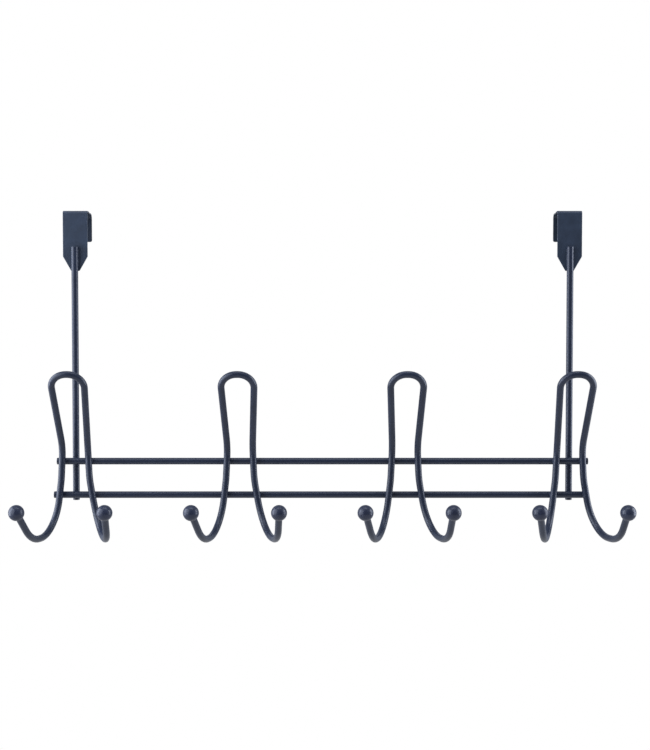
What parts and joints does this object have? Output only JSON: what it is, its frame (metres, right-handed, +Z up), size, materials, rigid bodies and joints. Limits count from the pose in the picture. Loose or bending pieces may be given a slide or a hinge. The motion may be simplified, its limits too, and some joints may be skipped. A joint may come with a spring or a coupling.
{
  "type": "over door hook",
  "caption": "Over-door rack of welded wire: strap brackets fold over the door's top edge and carry stems, rails and double hooks with leaning loops and ball tips.",
  "frame": {"origin": "midway between the brackets on the top front edge of the door", "axes": "+X to the right along the rails, +Y into the door, +Z up"},
  "size_m": [0.4676, 0.1228, 0.2573],
  "materials": {
    "coated_strap": "satin",
    "coated_wire": "satin",
    "coated_ball": "satin"
  },
  "bodies": {
    "root": {"left_door_bracket": "coated_strap", "right_door_bracket": "coated_strap", "left_stem": "coated_wire", "right_stem": "coated_wire", "upper_rail": "coated_wire", "lower_rail": "coated_wire", "hook_1": "coated_wire", "hook_1_left_ball": "coated_ball", "hook_1_right_ball": "coated_ball", "hook_2": "coated_wire", "hook_2_left_ball": "coated_ball", "hook_2_right_ball": "coated_ball", "hook_3": "coated_wire", "hook_3_left_ball": "coated_ball", "hook_3_right_ball": "coated_ball", "hook_4": "coated_wire", "hook_4_left_ball": "coated_ball", "hook_4_right_ball": "coated_ball"}
  },
  "joints": []
}
